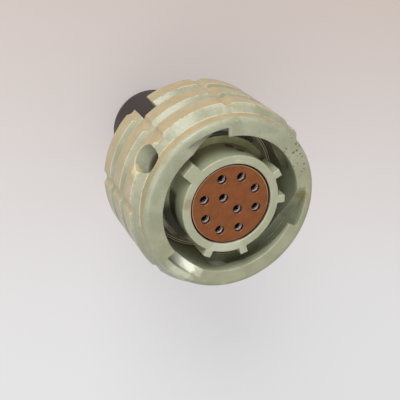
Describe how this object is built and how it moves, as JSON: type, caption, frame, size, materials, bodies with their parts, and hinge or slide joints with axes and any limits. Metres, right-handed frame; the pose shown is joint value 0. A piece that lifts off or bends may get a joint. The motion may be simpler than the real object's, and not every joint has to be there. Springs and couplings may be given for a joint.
{
  "type": "bayonet cable socket connector",
  "caption": "Circular cable socket with ten contacts, a keyed barrel, a ribbed bayonet coupling nut and a push-on rear cap, standing on the cap's end.",
  "frame": {"origin": "centre of the rear cap's flat end, on which the part stands", "axes": "+Z along the connector's axis, out of the mating face; the wide key is near +Y"},
  "size_m": [0.0266, 0.0266, 0.0348],
  "materials": {
    "nut_paint": "satin",
    "shell_paint": "satin",
    "cap_plastic": "satin",
    "insulator_moulding": "satin",
    "washer_plastic": "matte",
    "seal_rubber": "matte",
    "spring_steel": "brushed",
    "contact_metal": "bright",
    "hood_steel": "bright"
  },
  "bodies": {
    "cap": {"rear_cap": "cap_plastic"},
    "connector": {"shell": "shell_paint", "shell_seal": "seal_rubber", "nut_snap_ring": "spring_steel", "wave_spring": "spring_steel", "front_insulator": "insulator_moulding", "rear_insulator": "insulator_moulding", "insulator_snap_ring": "spring_steel", "contact_1": "contact_metal", "contact_2": "contact_metal", "contact_3": "contact_metal", "contact_4": "contact_metal", "contact_5": "contact_metal", "contact_6": "contact_metal", "contact_7": "contact_metal", "contact_8": "contact_metal", "contact_9": "contact_metal", "contact_10": "contact_metal", "contact_hood_1": "hood_steel", "contact_hood_2": "hood_steel", "contact_hood_3": "hood_steel", "contact_hood_4": "hood_steel", "contact_hood_5": "hood_steel", "contact_hood_6": "hood_steel", "contact_hood_7": "hood_steel", "contact_hood_8": "hood_steel", "contact_hood_9": "hood_steel", "contact_hood_10": "hood_steel"},
    "thrust_ring": {"thrust_washer": "washer_plastic"},
    "nut": {"coupling_nut": "nut_paint"}
  },
  "joints": [
    {"name": "cap_pull", "type": "slide", "parent": "cap", "child": "connector", "axis": [0, 0, 1], "range_m": [0, 0.02]},
    {"name": "nut_float", "type": "slide", "parent": "connector", "child": "thrust_ring", "axis": [0, 0, 1], "range_m": [0, 0.0008], "stiffness_N_per_m": 2500, "springref_m": -0.0008, "deforming": ["wave_spring"]},
    {"name": "nut_turn", "type": "hinge", "parent": "thrust_ring", "child": "nut", "pos_m": [0, 0, 0.02636], "axis": [0, 0, 1], "continuous": true}
  ]
}
